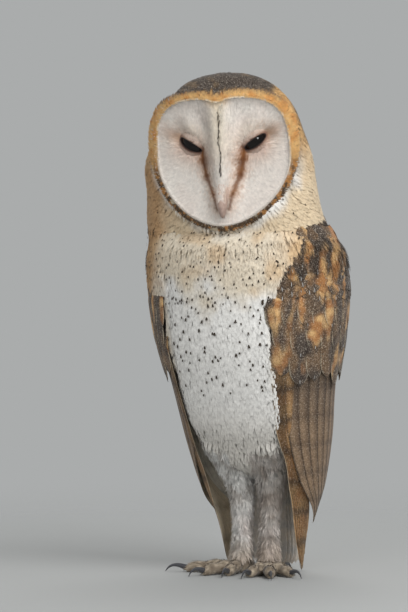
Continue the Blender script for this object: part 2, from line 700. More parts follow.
def wing_tint(points):
    """Grey, finely peppered upper wing and mantle with golden streaks."""
    across, z = view_across(points), points[..., 2]
    warp = 4 * (noise(points, 6, 9) - 0.5)
    streak = noise(points * (1, 1, 0.16), 4.2, 10)
    patch = 0.75 * smooth(streak, 0.62, 0.86)
    for (u, level), wide, tall in WING_PATCHES:
        d = np.hypot((across - u + warp) / wide, (z - level + 2 * warp) / tall)
        patch = np.maximum(patch, 1 - smooth(d + 0.7 * (streak - 0.5), 0.5, 1.4))
    base = blend(GREY, BROWN, smooth(noise(points * (1, 1, 0.5), 6, 11), 0.4, 0.8))
    base = blend(base, DARK, 0.6 * smooth(noise(points * (1, 1, 0.2), 3.4, 34), 0.62, 0.8))
    warm = blend(WING_GOLD, WING_ORANGE, smooth(noise(points, 5, 12), 0.2, 0.7))
    tint = blend(base, warm, patch * 0.9)
    return tint, 0.75 - 0.4 * patch


def leg_tint(points):
    z = points[..., 2]
    tint = blend(WHITE, PINK, 0.4 * (1 - smooth(z, 14, 70)) * noise(points, 7, 38))
    tint = blend(tint, colour(190, 172, 150), 0.6 * (1 - smooth(z + 10 * noise(points, 5, 39), 14, 34)))
    tint = blend(tint, colour(148, 136, 124), 0.55 * smooth(noise(points, 5, 42), 0.45, 0.75))
    shaded = 0.65 * (points[..., 0] > 0) * (0.5 + 0.5 * noise(points, 8, 40))
    tint = blend(tint, colour(146, 128, 114), shaded)
    return tint, 0


def toe_tint(points):
    return blend(colour(112, 98, 84), colour(186, 172, 152), noise(points, 2.4, 13)), 0


# ---- Materials ----


def feed(material, node, sockets):
    """Sets sockets of a node to values, or links them to other nodes' outputs."""
    for key, value in sockets.items():
        if isinstance(value, bpy.types.NodeSocket):
            material.node_tree.links.new(value, node.inputs[key])
        else:
            node.inputs[key].default_value = value


def add_node(material, kind, sockets, output=0, **settings):
    """New node with its sockets fed; gives one of its outputs."""
    node = material.node_tree.nodes.new("ShaderNode" + kind)
    for key, value in settings.items():
        setattr(node, key, value)
    feed(material, node, sockets)
    return node.outputs[output]


def new_material(name, sockets):
    material = bpy.data.materials.new(name)
    material.use_nodes = True
    feed(material, material.node_tree.nodes["Principled BSDF"], sockets)
    return material


def object_place(material):
    return add_node(material, "TexCoord", {}, "Object")


def plumage_material(name, roughness, sheen):
    """Tint of the feathers with dark and pale peppering and a fine grain."""
    material = new_material(name, {"Roughness": roughness, "Specular IOR Level": 0.22, "Sheen Weight": sheen,
                                   "Sheen Roughness": 0.5})
    tint = add_node(material, "Attribute", {}, "Color", attribute_name="Tint")
    speck = add_node(material, "Attribute", {}, "Fac", attribute_name="Speck")
    place = object_place(material)

    def texture(scale, detail):
        sockets = {"Scale": scale, "Detail": detail, "Roughness": 0.6, "Vector": place}
        return add_node(material, "TexNoise", sockets, "Fac")

    def ranged(value, low, high, to_low, to_high):
        return add_node(material, "MapRange", {"From Min": low, "From Max": high, "To Min": to_low,
                                               "To Max": to_high, "Value": value}, "Result")

    def mixed(share, base, over, kind="MIX"):
        sockets = {0: share, 6: base, 7: over}
        return add_node(material, "Mix", sockets, 2, data_type="RGBA", blend_type=kind)

    peppering = texture(1150, 2)
    shares = [add_node(material, "Math", {0: ranged(peppering, *span), 1: speck}, operation="MULTIPLY")
              for span in ((0.5, 0.42, 0, 0.8), (0.57, 0.66, 0, 0.62))]
    dotted = mixed(shares[0], tint, (*colour(40, 34, 32), 1))
    dotted = mixed(shares[1], dotted, (*colour(206, 196, 182), 1))
    grain = ranged(texture(420, 3), 0.3, 0.7, 0.86, 1.06)
    grain = add_node(material, "CombineColor", {"Red": grain, "Green": grain, "Blue": grain})
    shader = material.node_tree.nodes["Principled BSDF"]
    feed(material, shader, {"Base Color": mixed(1, dotted, grain, "MULTIPLY")})
    return material


def colour_ramp(material, value, stops):
    """Colours the material by a value, between two stops of position and colour."""
    place = add_node(material, "ValToRGB", {"Fac": value})
    for element, (position, tone) in zip(place.node.color_ramp.elements, stops):
        element.position, element.color = position, (*tone, 1)
    feed(material, material.node_tree.nodes["Principled BSDF"], {"Base Color": place})


def horn_material(name, base, tip, low, high, roughness, coat):
    """Horn whose colour runs from tip to base between two heights, with fine lumps."""
    material = new_material(name, {"Roughness": roughness, "Coat Weight": coat})
    place = object_place(material)
    height = add_node(material, "SeparateXYZ", {0: place}, "Z")
    sockets = {"From Min": low * MM, "From Max": high * MM, "Value": height}
    height = add_node(material, "MapRange", sockets, "Result")
    lump = add_node(material, "TexNoise", {"Scale": 400, "Vector": place}, "Fac")
    total = add_node(material, "Math", {0: lump, 1: 0.5, 2: height}, operation="MULTIPLY_ADD")
    colour_ramp(material, total, ((0.2, tip), (1.1, base)))
    return material


def gloss_material(name, tone, lumps):
    """Black, wet gloss of the eyes."""
    material = new_material(name, {"Roughness": 0.05, "Coat Weight": 0.0, "Specular IOR Level": 0.3})
    lump = add_node(material, "TexNoise", {"Scale": 300, "Vector": object_place(material)}, "Fac")
    colour_ramp(material, lump, ((0, tone * (1 - lumps)), (1, np.minimum(tone * (1 + lumps), 1))))
    return material


PLUMAGE = plumage_material("plumage", 0.72, 0.12)
DOWN = plumage_material("down", 0.85, 0.2)

# ---- Feathers ----

PATCH = 0.0015  # half the size of one feather's patch on the unwrapped skin
MAP_EDGE = 0.01
FACE_SPAN, FEET_SPAN = 124, 130  # widths that the unwraps of face and feet take up
LOWEST_BARB = 0.05  # height over the floor that no barb goes under


def finish_piece(obj, slot, *nodes):
    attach(obj, "root")
    for node in nodes:
        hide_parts(node)


def tufts(name, roots, normals, lies, seed, length, tint, unwrap, reach=0.5, height=2.4, sink=0.8, barbs=9,
          steps=2, width=0.6, spread=22, bend=60, rough=0.05, swell=1.7, ruffle=0.0, vary=1.0, level=1.0,
          material=PLUMAGE):
    """Soft feathers: each is a fan of fine flat barbs that leave a shaft lying along the skin."""
    rng = np.random.default_rng(seed)
    n = len(roots)
    lies = unit(lies - (lies * normals).sum(-1, keepdims=True) * normals)
    sides = np.cross(normals, lies)
    size = np.asarray(length) * rng.uniform(0.82, 1.15, n)
    lies = unit(lies + sides * rng.normal(0, 0.09, (n, 1)))
    sides = np.cross(normals, lies)
    k = np.arange(barbs)
    leave = mix(0.04, 1 - reach, k / (barbs - 1))
    hand = np.where(k % 2 == 0, 1.0, -1.0)
    hand[-1] = 0.0
    opening = np.radians(spread) * hand * mix(1.0, 0.55, k / (barbs - 1))
    opening = opening + rng.normal(0, 0.07, (n, barbs))
    reaching = size[:, None] * reach * rng.uniform(0.8, 1.12, (n, barbs))
    lift = rng.normal(0, rough, (n, barbs)) * height
    stations = np.linspace(0, 1, steps + 1)
    points, shares = [], []
    for s in stations:
        along = size[:, None] * leave + reaching * s * np.cos(opening)
        across = reaching * s * np.sin(opening) * (1 - 0.2 * s)
        share = along / size[:, None]
        rise = -sink + (height + sink) * (1 - np.clip(1 - share, 0, 1) ** swell) + lift * s
        high = rise - along**2 / (2 * bend)
        half = np.full_like(along, width / 2 * (1 - s) ** 0.6)
        centre = (roots[:, None] + lies[:, None] * along[..., None] + sides[:, None] * across[..., None]
                  + normals[:, None] * high[..., None])
        over = sides[:, None] * np.cos(opening)[..., None] - lies[:, None] * np.sin(opening)[..., None]
        if s < 1:
            points += [centre - over * half[..., None], centre + over * half[..., None]]
            shares += [share] * 2
        else:
            points.append(centre)
            shares.append(share)
    per = 2 * steps + 1
    points = np.stack(points, axis=2).reshape(-1, 3)
    points[:, 2] = np.maximum(points[:, 2], LOWEST_BARB)
    share = np.stack(shares, axis=2).reshape(-1)
    faces = []
    for j in range(steps - 1):
        a = 2 * j
        faces += [(a, a + 3, a + 1), (a, a + 2, a + 3)]
    faces.append((2 * steps - 2, 2 * steps, 2 * steps - 1))
    starts = np.arange(n * barbs) * per
    faces = (np.array(faces)[None] + starts[:, None, None]).reshape(-1, 3)
    tints, specks = tint(points)
    each = np.repeat(1 + vary * rng.uniform(-0.06, 0.05, n), barbs * per)
    each = each * np.repeat(1 + vary * rng.uniform(-0.05, 0.04, n * barbs), per)
    tints = tints * each[:, None]
    uv = np.repeat(unwrap(roots), barbs * per, axis=0)
    spin = np.tile(np.repeat(hand, per), n)
    uv = uv + np.stack([spin * PATCH * 0.8, (share - 0.5) * 2 * PATCH], -1)
    piece = new_object(name, points, faces, tints, specks, uv, material)
    shown = np.stack([normals[:, 0], normals[:, 1], np.minimum(normals[:, 2], level)], -1)
    shown = unit(shown + ruffle * rng.normal(0, 1, (n, 3)))
    shown = np.repeat(shown, barbs, axis=0) + 0.5 * ruffle * rng.normal(0, 1, (n * barbs, 3))
    piece.data.normals_split_custom_set_from_vertices(np.repeat(unit(shown), per, axis=0))
    return piece


def head_tufts(name, roots, normals, lies, *rest, **options):
    """Soft feathers of the face, placed in the frame of the head."""
    piece = tufts(name, from_head(roots), normals @ HEAD_AXES.T, lies @ HEAD_AXES.T, *rest, **options)
    finish_piece(piece, "face", "head")


def on_map(u, v):
    """Places on the unwrapped skin, kept off its edges."""
    return np.stack([np.clip(u, MAP_EDGE, 1 - MAP_EDGE), np.clip(v, MAP_EDGE, 1 - MAP_EDGE)], -1)


def unwrap_body(points):
    return on_map(body_angle(points) / TURN * 0.96 + 0.5, (points[..., 2] - 55) / 225)


def unwrap_head(points):
    q = to_head(points)
    return on_map(np.arctan2(q[..., 0], q[..., 2]) / TURN * 0.96 + 0.5, (q[..., 1] + 50) / 110)


def unwrap_face(points):
    q = to_head(points)
    return on_map(q[..., 0] / FACE_SPAN + 0.5, q[..., 2] / FACE_SPAN + 0.5)


def unwrap_leg(points):
    x = np.abs(points[..., 0]) - measure(LEG, points[..., 2], "x")
    y = points[..., 1] - SHIFT_Y - measure(LEG, points[..., 2], "y")
    turn = (np.arctan2(x, y) / TURN + 0.5) * 0.46
    return on_map(turn + np.where(points[..., 0] > 0, 0.52, 0.02), points[..., 2] / 105)


def unwrap_foot(points):
    return on_map(points[..., 0] / FEET_SPAN + 0.5, points[..., 1] / FEET_SPAN + 0.5)


def face_lie(points):
    """Feathers of the face run outward from the eyes and from the ridge above the bill."""
    q = to_head(points)
    x, z = q[:, 0], q[:, 2]
    side = np.where(x >= 0, 1.0, -1.0)
    ex, ez = x - side * EYE["x"], z - EYE["z"]
    around = np.stack([ex, ez], -1) / np.maximum(np.hypot(ex, ez), 2)[:, None]
    ridge = np.stack([side * (0.25 + 0.03 * np.abs(x)), np.full_like(x, 0.9)], -1)
    below = np.stack([x, z + 8], -1) / np.maximum(np.hypot(x, z + 8), 2)[:, None]
    on_ridge = np.exp(-((x / 10) ** 2)) * smooth(z, -34, -16)
    low = (1 - smooth(z, -22, -4)) * 0.9
    plane = around * (1 - low)[:, None] + below * low[:, None]
    plane = plane * (1 - on_ridge)[:, None] + ridge * on_ridge[:, None]
    local = np.stack([plane[:, 0], np.zeros_like(x), plane[:, 1]], -1)
    return unit(local @ HEAD_AXES.T)


def head_lie(points):
    q = to_head(points)
    local = np.stack([0.012 * q[:, 0], np.full(len(q), 1.0), mix(-0.25, -1.6, smooth(q[:, 1], -30, 30))], -1)
    local[:, 2] -= 0.9 * smooth(np.abs(q[:, 0]), 25, 50)
    share = disc_share(q[:, 0], q[:, 2])
    near = (1 - smooth(share, 1.15, 1.45)) * (1 - smooth(q[:, 1], -32, -12))
    high = smooth(q[:, 2], -14, 6)
    up = np.where(high > 0, q[:, 2], -30)
    out = unit(np.stack([q[:, 0] * mix(0.4, 1, high), np.full(len(q), 16.0), up], -1))
    local = mix(unit(local), out, near[:, None])
    return unit(local @ HEAD_AXES.T)


def body_lie(points):
    z = points[:, 2]
    return np.stack([points[:, 0] * 0.002, 0.3 * (1 - smooth(z, 70, 110)), np.full_like(z, -1)], -1)


VANE_ALONG = np.array([0, 0.2, 0.4, 0.58, 0.72, 0.84, 0.93, 1.0])
VANE_ACROSS = np.array([-1, -0.62, -0.2, -0.07, 0, 0.07, 0.2, 0.62, 1])


def leaf_roots(levels, span, spacing, inset, seed):
    """Roots, normals and downward directions in staggered rows, each row over its span of angles."""
    rng = np.random.default_rng(seed)
    rows = []
    for i, level in enumerate(levels):
        low, high = span(level)
        count = max(int((high - low) * radius_at(level) / spacing), 1)
        angle = low + (np.arange(count) + 0.25 + 0.5 * (i % 2)) / count * (high - low)
        angle = angle + rng.normal(0, 0.012, count)
        rows.append(oval_frame(angle, level + rng.normal(0, 0.6, count), inset))
    return (np.concatenate(column) for column in zip(*rows))


def leaves(name, levels, span, spacing, length, half, height, inset, seed):
    """Overlapping small feathers with a broad vane, and a fringe of barbs at their tips."""
    roots, normals, lies = leaf_roots(levels, span, spacing, inset, seed)
    rng = np.random.default_rng(seed + 1)
    n = len(roots)
    length = length * rng.uniform(0.9, 1.1, n)
    lies = unit(lies + np.cross(normals, lies) * rng.normal(0, 0.06, (n, 1)))
    sides = np.cross(normals, lies)
    fullness = 1 - ((VANE_ALONG - 0.55) / 0.46).clip(0, 1) ** 2.4
    share = np.minimum(0.25 + 2.4 * VANE_ALONG, 1) * np.sqrt(np.clip(fullness, 0.012, 1))
    t, c = np.meshgrid(VANE_ALONG, VANE_ACROSS, indexing="ij")
    wide = share[:, None] * half * VANE_ACROSS
    wide = wide * (1 + rng.normal(0, 0.05, (n, len(VANE_ALONG), 1)))
    reach = (t - 0.06 * c**2 * (t > 0.5)) * length[:, None, None]
    rise = -1.2 + (height + 1.2) * (1 - (1 - t) ** 1.6)
    rise = rise - 0.5 * c**2 + 0.12 * (np.abs(c) < 0.1) - reach**2 / 130
    rise = rise + rng.normal(0, 0.16, (n, 1, 1)) * t
    points = (roots[:, None, None] + lies[:, None, None] * reach[..., None]
              + sides[:, None, None] * wide[..., None] + normals[:, None, None] * rise[..., None])
    cells = grid_cells(*t.shape)
    faces = np.concatenate([cells[:, [0, 2, 1]], cells[:, [0, 3, 2]]])
    faces = (faces[None] + (np.arange(n) * t.size)[:, None, None]).reshape(-1, 3)
    middle = np.repeat(points[:, 5, 4], t.size, axis=0)
    tints, specks = wing_tint(middle * 0.6 + points.reshape(-1, 3) * 0.4)
    tints = tints * np.repeat(rng.uniform(0.86, 1.1, n), t.size)[:, None]
    dropped = (rng.random(n) < 0.4)[:, None, None]
    inner = (np.abs(c) < 0.05) & (t > 0.8) & (t < 0.97)
    rim = (np.abs(c) < 0.15) & (t > 0.68) & ~inner
    inner, rim = (inner & dropped).reshape(-1), (rim & dropped).reshape(-1)
    tints = blend(blend(tints, DARK, rim * 0.75), WHITE, inner * 0.95)
    specks = np.where(inner | rim, 0, specks)
    uv = np.repeat(unwrap_body(roots), t.size, axis=0) + np.stack([
        np.tile(c.ravel(), n) * PATCH * 2, np.tile(t.ravel() - 0.5, n) * 4 * PATCH], -1)
    piece = new_object(name, points.reshape(-1, 3), faces, tints, specks, uv, PLUMAGE)
    fringe = tufts(name + "_fringe", points[:, 3].mean(axis=1), normals, lies, seed + 2, length * 0.52,
                   wing_tint, unwrap_body, reach=0.62, height=0.25, sink=0.1, barbs=10, width=0.5, spread=30,
                   bend=200)
    return piece, fringe


# ---- Long feathers of the wings and tail ----

RIGHT_SPREAD = math.radians(24)  # the right wing's primaries lie more open near their tips
VANE_STEP = 0.55
VANE_STEEPEST = 0.4
VANE_ROWS = 46
VANE_COLUMNS = np.array([-1, -0.82, -0.55, -0.25, -0.06, 0, 0.06, 0.25, 0.55, 0.82, 1])
VANE_THICKNESS = 0.22
UNDER_SPECK = 0.03  # share of peppering on the under sides


def primary_line(level):
    return np.radians(measure(PRIMARY_LINE, level, "angle"))


def radius_at(level):
    return (measure(OUTLINE, level, "width") + measure(OUTLINE, level, "depth")) / 2


def tip_share(at, start, root=0.65):
    body = np.minimum(root + 3 * at, 1)
    return body * np.sqrt(np.clip(1 - ((at - start) / (1 - start)).clip(0, 1) ** 2.2, 0.004, 1))


def slab(outer, inner):
    """Closed thin plate between two grids of points."""
    rows, cols = outer.shape[:2]
    back, last = rows * cols, (rows - 1) * cols
    top = grid_cells(rows, cols)
    j, i = np.arange(cols - 1), np.arange(rows - 1) * cols
    edges = ((j + 1, j), (last + j, last + j + 1), (i, i + cols), (i + 2 * cols - 1, i + cols - 1))
    sides = [np.stack([a, b, b + back, a + back], -1) for a, b in edges]
    points = np.concatenate([outer.reshape(-1, 3), inner.reshape(-1, 3)])
    return points, np.concatenate([top, top[:, ::-1] + back] + sides)


class VaneSet:
    """Collects long feathers of one piece, each with its own cell of the unwrap."""

    def __init__(self, name, cells):
        self.name, self.cells, self.parts = name, cells, []

    def add(self, side, outer, inner, across, along, pattern):
        """Adds one feather from its outer and inner grid; on the left side the grids run the other way."""
        if side > 0:
            outer, inner, across, along = (grid[:, ::-1] for grid in (outer, inner, across, along))
        rows, cols = outer.shape[:2]
        points, faces = slab(outer, inner)
        looks = [pattern(grid.reshape(-1, 3), across.reshape(-1), along.reshape(-1), under)
                 for grid, under in ((outer, False), (inner, True))]
        specks = [np.full(rows * cols, speck, float) for _, speck in looks]
        v, u = np.meshgrid(np.linspace(0, 1, rows), np.linspace(0, 1, cols), indexing="ij")
        k = len(self.parts)
        cell = np.array([k % self.cells, k // self.cells]) / self.cells
        one = np.stack([u * 0.44, v * 0.92], -1).reshape(-1, 2) / self.cells
        uv = [one + cell + (start / self.cells, 0.02 / self.cells) for start in (0.02, 0.5)]
        columns = ([tint for tint, _ in looks], specks, uv)
        self.parts.append((points, faces, *(np.concatenate(column) for column in columns)))

    def finish(self, slot, node):
        points, faces = joined([part[:2] for part in self.parts])
        tint, speck, uv = (np.concatenate([part[i] for part in self.parts]) for i in (2, 3, 4))
        finish_piece(new_object(self.name, points, faces, tint, speck, uv, PLUMAGE), slot, node)


def lay_fan(vanes, side, edges, root, tips, half, depth, pattern, seed, start=0.8, shift=0, room=1):
    """Row of long feathers on the outline of the folded wing, between two lines that run down it.

    Half widths are given at root and tip, depths at root and tip with the stretch where they change.
    """
    at = np.linspace(0, 1, VANE_ROWS) ** 0.95
    down, c = at[:, None], VANE_COLUMNS[None]
    share = tip_share(at, start)
    for k, tip in enumerate(tips):
        rng = np.random.default_rng(seed + k)
        level = mix(root, tip, at)
        first, last = edges(level)
        gap = np.abs(last - first) / (len(tips) - 1)
        slope = np.minimum(VANE_STEP / np.maximum(gap * radius_at(level), 0.1), VANE_STEEPEST)
        waves = noise(np.stack([level * 3, level * 0, level * 0 + seed + k], -1), 9, 3)
        wide = (mix(*half, at) * share)[:, None] * c * (1 + 0.05 * (waves - 0.5)[:, None])
        ridge = 0.28 * np.exp(-((c / 0.05) ** 2)) * (1 - 0.8 * down)
        camber = 0.5 * (1 - c**2) * share[:, None]
        ripple = 0.12 * rng.normal(0, 1, c.shape) * down
        inset = mix(depth[0], depth[1], smooth(down, *depth[2:])) + slope[:, None] * wide - camber + ripple
        path = mix(first, last, (k + shift) / (len(tips) - room))
        angle = (path[:, None] + wide / radius_at(level)[:, None]) * side
        levels = np.broadcast_to((level[:, None] + 1.5 * c**2 * (down > 0.5)), angle.shape)
        outer = oval(OUTLINE, angle, levels, inset - ridge)
        inner = oval(OUTLINE, angle, levels, inset + VANE_THICKNESS * (1 - 0.6 * down) + ridge * 0.7)
        across, along = np.broadcast_arrays(c, down)
        vanes.add(side, outer, inner, across, along, partial(pattern, k))


def bars(level, first, gap, width, seed):
    phase = np.mod(level - first + 2.5 * scrambled(seed, 3, 1), gap) / gap
    return np.exp(-(((phase - 0.5) * gap / width) ** 2))


def shaft(across):
    return np.exp(-((across / 0.05) ** 2))


def primary_pattern(k, points, across, along, under):
    z = points[:, 2]
    if under:
        tint = blend(colour(214, 200, 176), colour(170, 146, 112), 0.5 * along)
        tint = blend(tint, colour(232, 222, 204), 0.8 * shaft(across))
        return blend(tint, DARK, 0.4 * bars(z, 12, 22, 2.4, k)), UNDER_SPECK
    tone = smooth(noise(points, 6, 14), 0.3, 0.8)
    tint = blend(GOLD, ORANGE, 0.2 + 0.6 * tone)
    tint = blend(tint, BROWN, 0.5 + 0.2 * smooth(z, 90, 150))
    tint = blend(tint, DARK, 0.8 * bars(z, 12, 22, 2.6, k))
    tint = blend(tint, DARK, 0.55 * shaft(across))
    tint = blend(tint, DARK, 0.7 * smooth(-across, 0.72, 0.95) * (k > 0))
    return blend(tint, CREAM, 0.6 * smooth(-across, 0.86, 1) * (k == 0)), 0.55


def secondary_pattern(k, points, across, along, under):
    z = points[:, 2]
    if under:
        tint = blend(colour(226, 220, 206), colour(176, 160, 134), 0.3 * along)
        return blend(tint, DARK, 0.35 * bars(z, 4, 20, 2.2, k)), UNDER_SPECK
    tint = blend(colour(112, 91, 72), colour(96, 78, 62), noise(points, 7, 15))
    tint = blend(tint, colour(176, 148, 118), 0.5 * smooth(-across, 0, 0.75))
    tint = blend(tint, GREY, 0.5 * smooth(z, 96, 140))
    tint = blend(tint, ORANGE, 0.15 * smooth(k, 4, 8))
    tint = blend(tint, DARK, 0.35 * bars(z, 4, 20, 2.4, k))
    tint = blend(tint, DARK, 0.9 * smooth(-across, 0.8, 0.9))
    return blend(tint, DARK, 0.5 * shaft(across)), 0.45


def covert_pattern(k, points, across, along, under):
    tint, speck = wing_tint(points)
    if under:
        return blend(tint, CREAM, 0.6), speck * 0.2
    tint = blend(tint, CREAM, 0.6 * smooth(np.abs(across), 0.9, 1) * smooth(along, 0.4, 0.7))
    marked = k % 3 > 0
    drop = (np.abs(across) < 0.03) * (np.abs(along - 0.92) < 0.03) * marked
    ring = (np.abs(across) < 0.1) * (np.abs(along - 0.92) < 0.06) * marked
    return blend(blend(tint, DARK, ring * 0.7), WHITE, drop * 0.9), speck * (1 - ring)


PRIMARY_TIPS = np.interp(np.linspace(0, 4, 10), np.arange(5), [3, 1.2, 6, 16, 27])
SECONDARY_TIPS = mix(35, 90, (np.arange(13) / 12) ** 2)
COVERT_ROWS = (
    # Count, root level, tip level, stagger of the tips, half width, depth at the tips
    (11, 172, 137, 4, 7.6, 1.0), (12, 188, 156, 3, 7.2, 0.8), (13, 203, 172, 3, 7.0, 0.6),
)


def wing_feathers(name, side):
    spread = RIGHT_SPREAD if side < 0 else 0

    def primary_edges(level):
        wide = mix(4.0, 6.2, level / 172) / radius_at(level)
        front = front_edge(level, side)
        last = np.maximum(primary_line(level) - wide * 0.4, front + wide * 1.6)
        return front + wide, last + spread * (1 - smooth(level, 50, 110))

    def secondary_edges(level):
        margin = 10 / radius_at(level)
        return primary_line(level) + margin * 0.2, back_edge(level) - margin

    def covert_edges(half, level):
        margin = half / radius_at(level)
        return front_edge(level, side) + margin * 0.95, back_edge(level) - margin

    flight = VaneSet(f"flight_feathers_{name}", 5)
    lay_fan(flight, side, primary_edges, 166, PRIMARY_TIPS, (6.2, 4.0), (3.4, 5, 0.4, 0.7),
            primary_pattern, 100, 0.86)
    lay_fan(flight, side, secondary_edges, 168, SECONDARY_TIPS, (8.6, 8.6), (4.2, 1.9, 0.2, 0.7),
            secondary_pattern, 200)
    flight.finish("wing", f"wing_{name}")
    coverts = VaneSet(f"coverts_{name}", 7)
    for row, (count, root, tip, stagger, half, low) in enumerate(COVERT_ROWS):
        tips = [tip + stagger * math.cos(k * 2.4 + row) for k in range(count)]
        lay_fan(coverts, side, partial(covert_edges, half), root, tips, (half, half), (3.4, low, 0, 0.4),
                covert_pattern, 300 + 20 * row, 0.68, 0.25 * (row % 2), 0.75)
    coverts.finish("wing", f"wing_{name}")


def coat_edge(z, x):
    """Front edge of the wing's own plumage: the breast covers more of the right wing's shoulder."""
    back = np.where(x < 0, 0.42 * smooth(z, 184, 214), 0.4 * smooth(z, 243, 258))
    return front_edge(z, x) + back


def shoulder_feathers(name, side):
    def span(level):
        low, high = float(coat_edge(level, side)) - 0.02, float(back_edge(level)) + 0.02
        return (low, high) if side > 0 else (-high, -low)

    for piece in leaves(f"shoulder_{name}", np.arange(245, 188, -4.6), span, 6.0, 15, 5.2, 2.4, 2.2, 41):
        finish_piece(piece, "wing", f"wing_{name}")


def mantle_feathers():
    def span(level):
        back = float(back_edge(level)) - 0.1
        return back, TURN - back

    for piece in leaves("mantle", np.arange(246, 112, -5.2), span, 6.4, 17, 5.6, 2.2, 2.4, 51):
        finish_piece(piece, "neck", "torso")


TAIL = {
    "count": 6, "from": 98, "to": 1, "half": 6.4, "spread": 8, "fan": 19, "y": 47.4, "sag": 2, "tilt": 1.5,
    "thickness": 0.3, "side_step": 1,
}


def tail_pattern(k, points, across, along, under):
    tint = blend(GOLD, CREAM, 0.25 + 0.3 * (k > 3))
    tint = blend(tint, GREY, 0.5 * smooth(noise(points, 5, 17), 0.35, 0.75) * (k < 3))
    tint = blend(tint, DARK, 0.7 * bars(points[:, 2], 6, 17, 2.4, 1))
    return (blend(tint, WHITE, 0.7), UNDER_SPECK) if under else (tint, 0.5)


def tail_feathers():
    vanes = VaneSet("tail_feathers", 4)
    at, c = np.linspace(0, 1, VANE_ROWS)[:, None], VANE_COLUMNS[None]
    for k in range(TAIL["count"]):
        for side in (1, -1):
            share = (k + 0.5) / TAIL["count"]
            level = mix(TAIL["from"], TAIL["to"] + 6 * share**2, at)
            middle = share * mix(TAIL["spread"], TAIL["fan"], at)
            shape = tip_share(at, 0.84, 0.7)
            x = middle + c * (TAIL["half"] * mix(0.75, 1, at) * shape)
            lift = -c * TAIL["tilt"] * shape + 0.25 * shaft(c)
            y = TAIL["y"] + SHIFT_Y - TAIL["sag"] * (middle / TAIL["fan"]) ** 2 + lift
            y = y - (side < 0) * TAIL["side_step"]
            outer = np.stack(np.broadcast_arrays(x * side, y, level + 1.2 * c**2), -1)
            across, along = np.broadcast_arrays(c, at)
            inner = outer - (0, TAIL["thickness"], 0)
            vanes.add(side, outer, inner, across, along, partial(tail_pattern, k))
    vanes.finish("tail", "tail")


# ---- Plumage of the skin ----


def rim_tint(points):
    """Golden edge of the disc above, a dark cord flecked with orange below."""
    z = to_head(points)[..., 2]
    top = smooth(z + 6 * (noise(points, 5, 35) - 0.5), -16, 2)
    fleck = mix(noise(points, 1.9, 19), noise(points, 4.6, 44), 0.5)
    gold = blend(GOLD, ORANGE, 0.7 * smooth(noise(points, 4, 19), 0.3, 0.8))
    gold = blend(gold, DARK, 0.7 * smooth(fleck, 0.76, 0.86))
    cord = blend(DARK, BROWN, 0.5)
    dark = blend(cord, blend(ORANGE, GOLD, 0.3), 0.8 * smooth(fleck, 0.55, 0.65))
    dark = blend(dark, CREAM, 0.6 * smooth(noise(points, 2.6, 45), 0.72, 0.84))
    return blend(dark, gold, top), 0


RUFF_ROWS = (
    # Each pair is for above and below. A row has its offsets from the disc's edge, its share of the rim's
    # height, lengths, outward shares, how much it widens at the right, how grey its top is, and its count
    ((-1.3, -1.2), 1.0, (2.6, 1.2), (0.93, 0.95), 0, 0, 900),
    ((0.1, -0.4), 1.05, (3.8, 3.1), (0.72, 0.92), 0.3, 0, 900),
    ((1.9, 1.2), 0.75, (4.8, 3.7), (0.5, 0.84), 1, 0.3, 760),
    ((3.6, 0.0), 0.1, (6.0, 0), (0.2, 0.2), 1, 0.8, 620),
)


def ruff_tint(row, grey, points):
    q = to_head(points)
    z = q[..., 2]
    tone = rim_tint(points)[0]
    if row == 0:
        inner = blend(WARM, CREAM, 0.8 * smooth(z, -16, 10))
        inner = blend(inner, GOLD, 0.9 * smooth(z, -10, 16) * smooth(noise(points, 3.4, 43), 0.2, 0.5))
        tone = blend(inner, tone, smooth(disc_share(q[..., 0], z), 0.985, 1.005))
    return blend(tone, GREY, grey * smooth(z, 30, 42)), 0


def ruff_feathers():
    """Stiff feathers packed round the facial disc: golden above, a thin dark cord of them below."""
    for row, (starts, raised, lengths, outwards, widened, grey, count) in enumerate(RUFF_ROWS):
        rng = np.random.default_rng(61 + row)
        angle = full_turn(count) + rng.normal(0, 0.004, count)
        x, z = disc_rim(angle)
        if lengths[1] == 0:
            kept = z > -14 + rng.normal(0, 3, count)
            x, z = x[kept], z[kept]
        count = len(x)
        out = unit(np.stack([x, np.zeros(count), z], -1))
        base = np.stack([x, disc_depth(x, z) + 0.6 - RIM["height"] * raised, z], -1)
        upper = smooth(z, -16, 4)
        base += out * (mix(starts[1], starts[0], upper) + rng.normal(0, 0.2, count))[:, None]
        broad = 0.7 * smooth(-x, 24, 44) * smooth(z, -30, -6) * (1 - 0.5 * smooth(z, 12, 30)) * widened
        outward = (mix(outwards[1], outwards[0], upper) * (1 - broad) + 0.82 * broad)[:, None]
        lie = unit(out * outward + np.array([0, 1.0, 0]) * (1 - outward**2) ** 0.5)
        normal = unit(np.cross(np.cross(lie, (0, -1, 0)), lie))
        length = mix(lengths[1], lengths[0], upper) + 1.2 * broad
        head_tufts(f"ruff_{row}", base, normal, lie, 62 + row, length, partial(ruff_tint, row, grey),
                   unwrap_head, reach=0.62, height=0.7, sink=0.3, width=0.34, spread=11, bend=30, rough=0.12,
                   vary=1.6)


def one_tint(tone, streaks, points):
    shade = 1 - streaks + 2 * streaks * noise(points, 1.4, 36)
    return tone * shade[..., None], 0


